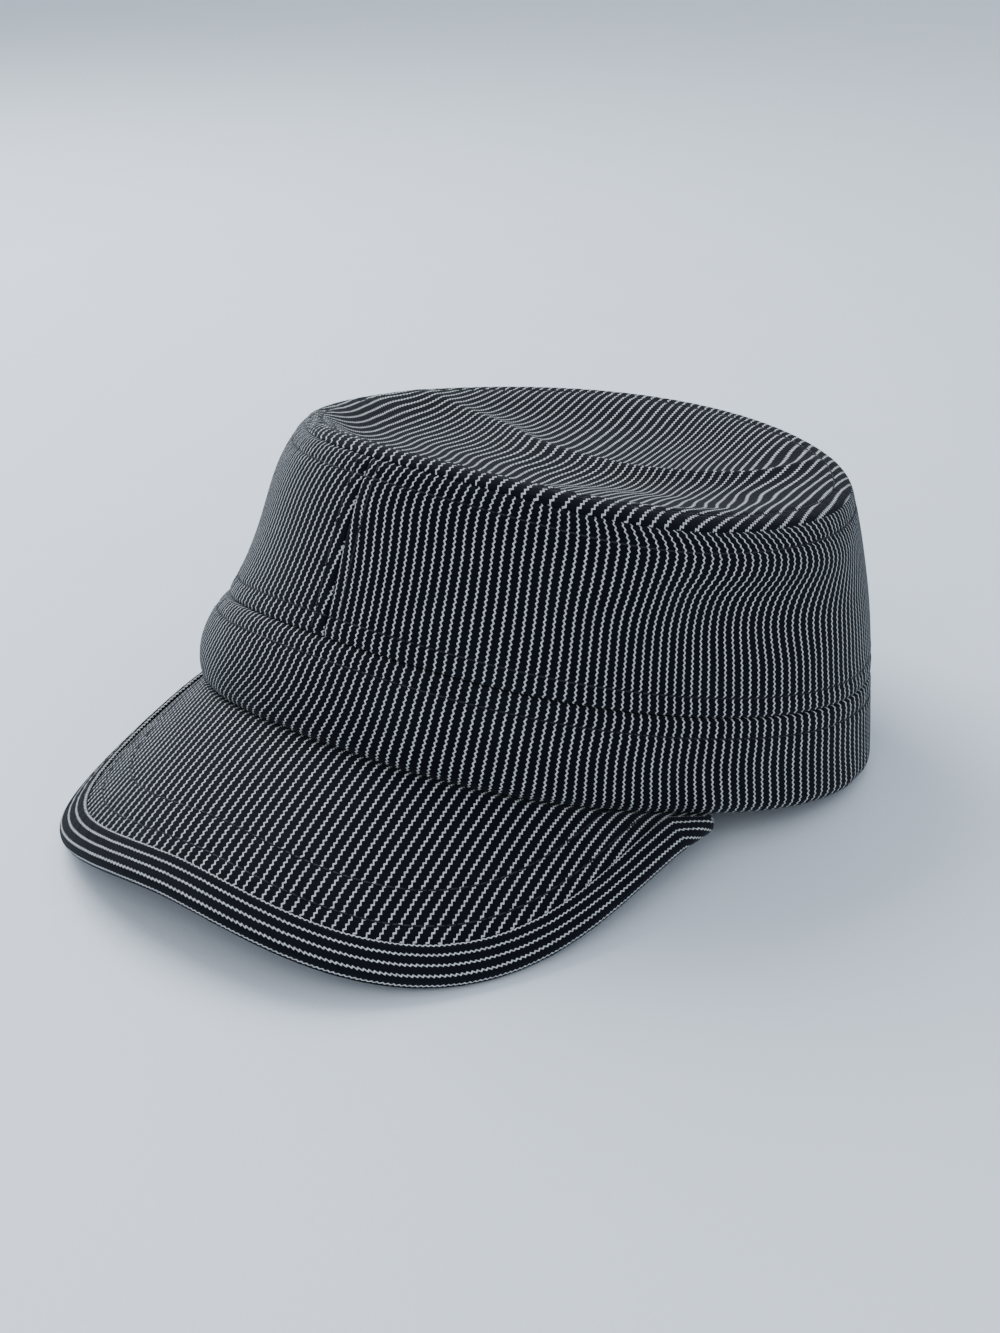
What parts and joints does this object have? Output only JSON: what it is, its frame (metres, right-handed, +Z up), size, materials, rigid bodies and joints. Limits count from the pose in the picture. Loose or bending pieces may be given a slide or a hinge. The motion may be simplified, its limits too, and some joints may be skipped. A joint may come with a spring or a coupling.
{
  "type": "striped cap",
  "caption": "Soft cloth cap with a dished flat crown, a two-panel wall, a wide band and an arched, bound peak, lying on its band and peak.",
  "frame": {"origin": "centre of the cap's overall box, on the surface that it rests on", "axes": "+Z up from the surface, -Y towards the wearer's front with the peak, +X towards the wearer's left"},
  "size_m": [0.1884, 0.2426, 0.1049],
  "materials": {
    "striped_cloth": "matte",
    "binding_cloth": "matte"
  },
  "bodies": {
    "root": {"head_band": "striped_cloth", "wall_left": "striped_cloth", "wall_right": "striped_cloth", "crown_tip": "striped_cloth", "peak": "striped_cloth", "peak_binding": "binding_cloth"}
  },
  "joints": []
}
